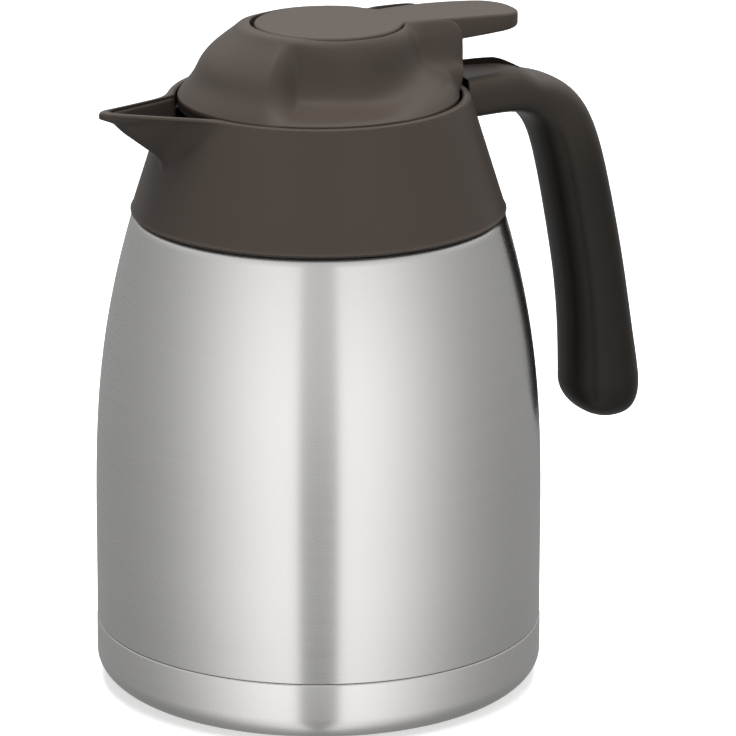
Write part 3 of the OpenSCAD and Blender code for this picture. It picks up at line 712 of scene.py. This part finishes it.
lid = {"top": 211.0, "edgeR": 43.4, "blockR": 44.7, "foot": 186.6, "gap": 1.2, "barHalf": 14.2,
       "lipRound": 0.5, "pocketZ": 201.8, "rearFloor": 196.4, "holeR": 8.2, "pinX": -17.0, "pinZ": 204.8,
       "wallR": 26.6, "wallX": 3, "floorBend": 2, "floorLong": 43, "skin": 2, "earY": 12.2, "earR": 2.5,
       # angles from the front at which each row of control points leaves the scoop and joins the dome
       "scoopEnds": [54, 54, 54, 54, 54, 66, 86, 86], "domeStarts": [38, 38, 38, 38, 38, 44, 58, 58]}
# the tail is widest at tailX and closes in a superellipse from tipX; it reaches 0.2 past the solid's 66.4
lever = {"discR": 22.8, "discX": 3.2, "reach": 66.4 + 0.2, "joinX": 12, "join": 4,
         "tailHalf": 11.7, "tailX": 45, "tailNarrow": 0.0042, "tipX": 57, "tipSquare": 2.6}


def discHalf(x):
    return np.sqrt(np.maximum(0, lever["discR"] ** 2 - (x - lever["discX"]) ** 2))


def tailHalf(x):
    tip, square = lever["tipX"], lever["tipSquare"]
    end = np.maximum(0, 1 - (np.maximum(x - tip, 0) / (lever["reach"] - tip)) ** square) ** (1 / square)
    return (lever["tailHalf"] - lever["tailNarrow"] * (x - lever["tailX"]) ** 2) * end


def leverHalf(x):
    return np.where(x < lever["joinX"], discHalf(x), softMax(discHalf(x), tailHalf(x), lever["join"]))


def slotR(a):
    # distance from the axis to the edge of the lever's slot
    t = np.radians(steps(0, 120, 300))
    r = lever["discR"] + lid["gap"]
    disc = np.stack([lever["discX"] - r * np.cos(t), r * np.sin(t)], axis=1)
    disc = disc[disc[:, 0] < lever["joinX"]]
    x = steps(lever["joinX"], 60, 400)
    edge = np.concatenate([disc, np.stack([x, leverHalf(np.minimum(x, 50)) + lid["gap"]], axis=1)])
    angle = np.arctan2(edge[:, 1], edge[:, 0])[::-1]
    return np.interp(np.abs(a), angle, np.hypot(edge[:, 0], edge[:, 1])[::-1])


def wallAt(a):
    # wall round the pressing plate, which runs back as a bar
    disc = lid["wallX"] * np.cos(a) + np.sqrt(lid["wallR"] ** 2 - (lid["wallX"] * np.sin(a)) ** 2)
    bar = softMin(lid["barHalf"] / np.maximum(0.05, np.abs(np.sin(a))), lid["blockR"] + 0.6, 4)
    return softMax(disc, bar, 4)


def pocketFloor(x):
    # level under the pressing plate, and falling towards the rear under the tail
    fall = np.clip((x - lid["floorBend"]) / lid["floorLong"], 0, 1)
    return np.where(x < lid["floorBend"], lid["pocketZ"], mix(lid["pocketZ"], lid["rearFloor"], fall))


def lidControls(a):
    # rows of control points from the flange up to the top: the front dome, and the finger scoops whose
    # floor climbs towards the rear; each row changes from one to the other over its own range of angles
    top, side, w = lid["top"], np.abs(np.degrees(a)), wallAt(a)
    dome = np.array([[43.3, 188.7], [41.7, 191], [38.2, 195.2], [36.5, 200], [31.6, top - 6.1],
                     [25.6, top - 1.8], [24.2, top], [17, top]])
    floor, rear, one = mix(190, 196.7, smooth(88, 24, side)), smooth(42, 22, side), np.ones(len(a))
    radii = [43.3 * one, np.maximum(41.4, w + 10), np.maximum(w + 8.5, 37.5), w + 3.4, w + 1.4, w + 0.6,
             w - 2 - 1.5 * rear, w - 9]
    heights = [188.7 * one, mix(189, floor, 0.55), floor, floor + 1.6, floor + 8, (top - 4) * one,
               (top + 0.3) * one, top * one]
    scoop = np.stack([np.stack(radii, axis=1), np.stack(heights, axis=1)], axis=2)
    limit = np.where(scoop[..., 1] < 190, lid["edgeR"] - 0.1, lid["blockR"])
    scoop[..., 0] = np.minimum(limit, scoop[..., 0])
    front = smooth(np.array(lid["scoopEnds"]), np.array(lid["domeStarts"]), 180 - side[:, None])
    return mix(scoop, dome, front[..., None])


def lidAngles(corner):
    # closer together round the notch and the scoops' ends, with a pair at the notch's corner
    fine = np.concatenate([np.arange(0, 180, 1.0), np.arange(9, 36, 0.3), np.arange(128, 152, 0.5), [180]])
    fine = np.radians(np.unique(np.round(fine, 3)))
    fine = fine[np.abs(fine - corner) > math.radians(0.1)]
    half = np.sort(np.concatenate([fine, [corner - 0.0004, corner + 0.0004]]))
    return np.concatenate([half, -half[-2:0:-1]])


def lidSkin(a, notch):
    # up each meridian: to the slot's lip, or in the notch behind it to the level of the rear floor
    controls, lip = lidControls(a), lid["lipRound"]
    slot = np.where(notch, lid["blockR"] - 1, slotR(a))
    low, high = np.where(notch, 0.0, 0.45), np.ones(len(a))
    for _ in range(40):
        middle = (low + high) / 2
        p = spline(controls, middle[:, None])[:, 0]
        past = np.where(notch, p[:, 1] > lid["rearFloor"] - lip, p[:, 0] < slot + lip)
        low, high = np.where(past, low, middle), np.where(past, middle, high)
    v = np.concatenate([steps(0, 0.6, 34), steps(0.615, 1, 40)])
    return spline(controls, high[:, None] * v[None, :])


def lidFold(skin, notch):
    # a small round edge: down into the slot, or up on to the rear floor
    lip, turn = lid["lipRound"], steps(0, math.pi / 2, 6)[1:]
    lipR, lipZ = skin[:, -1, 0][:, None], skin[:, -1, 1][:, None]
    down = np.stack([lipR - lip * np.sin(turn), lipZ - lip * (1 - np.cos(turn))], axis=-1)
    over = np.stack([lipR - lip * (1 - np.cos(turn)), lipZ + lip * np.sin(turn)], axis=-1)
    return np.where(notch[:, None, None], over, down)


def lidPocket(a, fold):
    # the slot's wall, and the pocket's floor in to the hole for the valve stem
    startR = fold[:, -1, 0]
    startFloor = pocketFloor(startR * np.cos(a))
    drop = steps(0, 1, 8)[None, 1:]
    wallZ = mix(fold[:, -1:, 1], startFloor[:, None], drop)
    wall = np.stack([np.repeat(startR[:, None], 7, 1), wallZ], axis=-1)
    floorR = mix(startR[:, None], lid["holeR"], steps(0, 1, 12)[None, 1:])
    floor = np.stack([floorR, pocketFloor(floorR * np.cos(a)[:, None])], axis=-1)
    return np.concatenate([wall, floor], axis=1)


def lidUnderside(a):
    # the hollow inside of the cover, and the spigot that fits the stopper
    one, foot = np.ones(len(a)), lid["foot"]
    w = mix(wallAt(a), 36, smooth(48, 31, 180 - np.abs(np.degrees(a))))
    near = np.minimum(37.4, w - 2.6)
    ceiling = pocketFloor(near * np.cos(a)) - lid["skin"]
    under = [[lid["holeR"] * one, (lid["pocketZ"] - lid["skin"]) * one], [near - 1.5, ceiling],
             [near, ceiling - 1.5], [near, 189.5 * one], [np.minimum(37.6, w), (foot + 0.9) * one],
             [37.6 * one, (foot + 0.4) * one], [38 * one, foot * one], [38 * one, (foot - 3) * one],
             [39.3 * one, (foot - 3) * one], [39.3 * one, foot * one]]
    return np.moveaxis(np.array(under), 2, 0)


def lidRings():
    # closed rows of (radius, height), one for each angle, swept round the axis
    probe = np.radians(steps(5, 40, 4000))
    corner = probe[np.argmax(slotR(probe) < lid["blockR"] - 0.7)]
    a = lidAngles(corner)
    notch = np.abs(a) < corner
    edgeR, foot = lid["edgeR"], lid["foot"]
    skirt = np.array([[edgeR - 0.2, foot], [edgeR, foot + 0.2], [edgeR, 188.2]])
    skirt = np.repeat(skirt[None], len(a), axis=0)
    skin = lidSkin(a, notch)
    fold = lidFold(skin, notch)
    rows = np.concatenate([skirt, skin, fold, lidPocket(a, fold), lidUnderside(a)], axis=1)
    return np.moveaxis(turned(rows[..., 0], rows[..., 1], a[:, None]), 0, 1), True


def lidPieces():
    # the cover, and two ears that hold the lever's pin
    ears, x = [], lid["pinX"]
    for y in (-lid["earY"], lid["earY"]):
        ears.append(rod([x, y, lid["pinZ"]], lid["earR"], 1.8))
        ears.append(softBlock([x - 2.4, y - 1.75, lid["pocketZ"] - 0.5],
                              [x + 2.4, y + 1.75, lid["pinZ"]], edge=0.2))
    return [lidRings(), *ears]


finish(makePiece("lidMoulding", lidPieces(), sharpAngle=50), "stopper", "lid_plastic", "lid", "lid_cover")


# ---- lever ----

lever.update({"top": lid["top"] - 0.3, "plateUnder": lid["top"] - 3.3, "tailUnder": 203.6, "edge": 0.9,
              "droopFrom": 34, "droop": 0.0011, "climbFrom": 43, "climb": 0.06,
              "pockets": [33, 41, 49], "pocketLong": 6.6, "pocketHalf": 7.6, "pocketRoof": 2, "gap": 0.05,
              "noseR": 3.4, "capTop": 202.0, "capGap": 0.15, "ribTop": 208.2})


def leverTop(x):
    return lever["top"] - lever["droop"] * np.maximum(0, x - lever["droopFrom"]) ** 2


def leverBottom(x):
    climb = lever["climb"] * np.maximum(0, x - lever["climbFrom"])
    return mix(lever["plateUnder"], lever["tailUnder"], smooth(24, lever["climbFrom"], x)) + climb


def leverOutline():
    # closer together at both ends, with a pair of points at each edge of a pocket
    front = lever["discX"] - lever["discR"] * np.cos(np.radians(steps(0, 118, 60)))
    end = lever["tipX"] + (lever["reach"] - lever["tipX"]) * np.sin(np.radians(steps(0, 90, 36)))
    gap, long = lever["gap"], lever["pocketLong"]
    pocketEdges = [x + d for x in lever["pockets"] for d in (-gap, gap, long - gap, long + gap)]
    middle = np.concatenate([steps(front[-1] + 1, 56, 46), pocketEdges])
    x = np.unique(np.round(np.concatenate([front, middle, end]), 4))
    half = np.stack([x, -leverHalf(x)], axis=1)
    return np.concatenate([half, (half * [1, -1])[-2:0:-1]])


def pocketRise(p, cored):
    # the tail is cored from below by three pockets, which leave a roof
    x = p[:, 0]
    deep = np.zeros(len(x))
    for start in lever["pockets"] if cored else []:
        inside = (x > start) & (x < start + lever["pocketLong"])
        deep = np.where(inside, leverTop(x) - lever["pocketRoof"] - leverBottom(x), deep)
    return deep


def leverPieces():
    # the plate with its tail, the boss round the pin, and the nose that presses on the stem's cap
    half, gap, top = lever["pocketHalf"], lever["gap"], lever["ribTop"]
    body = slab(leverOutline(), leverBottom, leverTop, lever["edge"],
                inner=[(half - gap, True), (half + gap, False)], rise=pocketRise)
    pinX, pinZ, noseR = lid["pinX"], lid["pinZ"], lever["noseR"]
    noseZ = lever["capTop"] + lever["capGap"] + noseR
    return [body, rod([pinX, 0, pinZ], 2.45, 7), softBlock([pinX - 1, -6, pinZ], [pinX + 2.4, 6, top]),
            rod([0, 0, noseZ], noseR, 4), softBlock([-2.6, -4, noseZ], [2.6, 4, top])]


finish(makePiece("leverMoulding", leverPieces()), "lever", "lever_plastic", "lever", "lever")


# ---- what stays as the frame has it ----

# node: its look
carried = {"inner_liner": "liner", "vessel_bottom": "liner", "getter_holder": "liner",
           "radiation_foil": "foil", "getter_pellet": "getter", "vacuum_plug": "solder",
           "neck_gasket": "silicone", "handle_screws": "screw", "stopper_body": "stopper",
           "stopper_seal": "silicone", "stopper_foam": "foam", "lever_pin": "screw", "stem_seal": "rubber",
           "valve_spring": "spring", "stem_cap": "stopper", "valve_stem": "stopper",
           "valve_plug": "stopper", "valve_gasket": "silicone", "valve_screw": "screw"}
for node, material in carried.items():
    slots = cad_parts[node].data.materials
    slots.clear()
    slots.append(look[material])
print("carried nodes done")


# ---- floor, light and camera ----

view = {"azimuth": 25.0, "distance": 1.5718, "height": 0.5758, "pitch": 0.2938, "lens": 257.2, "sensor": 36.0,
        "shiftX": 0.0673, "farthest": 50}


def makeCamera():
    # long lens, as fitted to the photo
    data = bpy.data.cameras.new("camera")
    data.lens, data.sensor_width, data.shift_x = view["lens"], view["sensor"], view["shiftX"]
    data.clip_end = view["farthest"]
    camera = bpy.data.objects.new("camera", data)
    turn = math.radians(view["azimuth"])
    camera.location = (-view["distance"] * math.sin(turn), -view["distance"] * math.cos(turn), view["height"])
    camera.rotation_euler = (math.pi / 2 - view["pitch"], 0, -turn)
    bpy.context.scene.collection.objects.link(camera)
    bpy.context.scene.camera = camera


paper = {"radius": 9, "z": -0.0002, "sides": 96, "dark": 0.86, "pale": 0.88, "glow": 0.42, "bounce": 0.3}


def makeFloor():
    # white paper that glows to the camera, so only the contact shadow shows; to everything else it is dull
    material, tree = newMaterial("floorPaper")
    white = tree.blend((paper["dark"],) * 3, (paper["pale"],) * 3, tree.noise(3.0))
    shader = tree.add("ShaderNodeBsdfPrincipled", None, {"Base Color": white, "Roughness": 0.9})
    bounce = tree.add("ShaderNodeBsdfDiffuse", None, {"Color": (*(paper["bounce"],) * 3, 1)})
    glow = tree.add("ShaderNodeEmission", None, {"Color": (1, 1, 1, 1), "Strength": paper["glow"]})
    lit = tree.add("ShaderNodeAddShader", None, {0: shader, 1: glow})
    seen = tree.add("ShaderNodeLightPath", out="Is Camera Ray")
    tree.toOutput(tree.add("ShaderNodeMixShader", None, {0: seen, 1: bounce, 2: lit}))
    turns, r = steps(0, 2 * math.pi, paper["sides"] + 1)[:-1], paper["radius"]
    mesh = bpy.data.meshes.new("floor")
    mesh.from_pydata([(r * math.cos(t), r * math.sin(t), paper["z"]) for t in turns], [],
                     [list(range(paper["sides"]))])
    floor = bpy.data.objects.new("floor", mesh)
    floor.data.materials.append(material)
    floor.visible_glossy = False
    bpy.context.scene.collection.objects.link(floor)


# bearings in degrees from the camera, to the right; the other ranges are parts of a unit direction:
# z for the gap's depth, the dimming, the sky and the soft light, and towards the camera or the right
studio = {"level": 0.36, "panel": 0.98, "centre": 15.0, "spread": 49.0, "gapLeft": (-12.0, -8.0),
          "gapRight": (8.5, 12.0), "gapDeep": 0.66, "gapShallow": 0.36, "gapRange": (0.15, -0.35),
          "dim": 0.72, "dimRange": (-0.75, 0.1), "skyRange": (0.1, 0.55), "skyBack": 0.75, "skyFront": 0.60,
          "backRange": (0.3, -0.6), "skyLeft": 0.15, "leftRange": (0.1, -0.8),
          "softLow": 0.04, "softHigh": 0.56, "softRange": (-0.4, 0.9)}


def makeWorld():
    # white to the camera; for reflections two soft boxes either side of the camera with a narrow gap,
    # and above the horizon a bright ceiling; for soft light brighter above than below
    world = bpy.data.worlds.new("studio")
    world.use_nodes = True
    bpy.context.scene.world = world
    tree = Tree(world.node_tree)
    way = tree.add("ShaderNodeTexCoord", out="Generated")
    x, y, z = (tree.axis(way, axis) for axis in "XYZ")
    turn = math.radians(view["azimuth"])
    toCamera = x * -math.sin(turn) + y * -math.cos(turn)
    toRight = x * math.cos(turn) + y * -math.sin(turn)
    bearing = toRight.math("ARCTAN2", toCamera) * (180 / math.pi)
    off = (abs(bearing) - studio["centre"]) / studio["spread"]
    panel = (off * off * -1).math("EXPONENT") * studio["panel"] + studio["level"]
    gap = tree.ease(bearing, *studio["gapLeft"]) * (1 - tree.ease(bearing, *studio["gapRight"]))
    depth = tree.ease(z, *studio["gapRange"]) * (studio["gapDeep"] - studio["gapShallow"])
    bands = panel * (1 - gap * (depth + studio["gapShallow"]))
    bands = bands * (tree.ease(z, *studio["dimRange"]) * (1 - studio["dim"]) + studio["dim"])
    high = tree.ease(z, *studio["skyRange"])
    back = tree.ease(toCamera, *studio["backRange"])
    sky = back * (studio["skyBack"] - studio["skyFront"]) + studio["skyFront"]
    sky = sky + tree.ease(toRight, *studio["leftRange"]) * (1 - back) * studio["skyLeft"]
    mirrored = bands * (1 - high) + sky * high
    soft = tree.ease(z, *studio["softRange"]) * (studio["softHigh"] - studio["softLow"]) + studio["softLow"]
    camera = tree.add("ShaderNodeLightPath", out="Is Camera Ray")
    glossy = tree.add("ShaderNodeLightPath", out="Is Glossy Ray")
    strength = camera + (1 - camera) * (glossy * mirrored + (1 - glossy) * soft)
    tree.toOutput(tree.add("ShaderNodeBackground", None, {"Color": (1, 1, 1, 1), "Strength": strength}),
                  "ShaderNodeOutputWorld")


# metres and watts; hidden from glossy rays, so they light the plastics and the steel mirrors the studio
lamps = {"overhead": {"place": (0.0, 0.05, 1.5), "size": 1.0, "power": 29.0},
         "key": {"place": (-0.29, -0.8, 1.15), "size": 0.6, "power": 7.5},
         "right": {"place": (1.2, -0.3, 0.7), "size": 0.6, "power": 2.0}}


def makeLamps():
    aimed = [0, 0, 0.1]
    for name, lamp in lamps.items():
        data = bpy.data.lights.new(name, "AREA")
        data.shape, data.size, data.energy = "DISK", lamp["size"], lamp["power"]
        lampObject = bpy.data.objects.new(name, data)
        lampObject.location = lamp["place"]
        aim = np.array(aimed) - np.array(lamp["place"])
        flat = math.hypot(aim[0], aim[1])
        lampObject.rotation_euler = (math.atan2(flat, -aim[2]), 0, math.atan2(aim[1], aim[0]) - math.pi / 2)
        lampObject.visible_glossy = False
        bpy.context.scene.collection.objects.link(lampObject)


makeCamera()
makeFloor()
makeWorld()
makeLamps()
bpy.context.scene.view_settings.view_transform = "Standard"
print("camera, floor and light done")
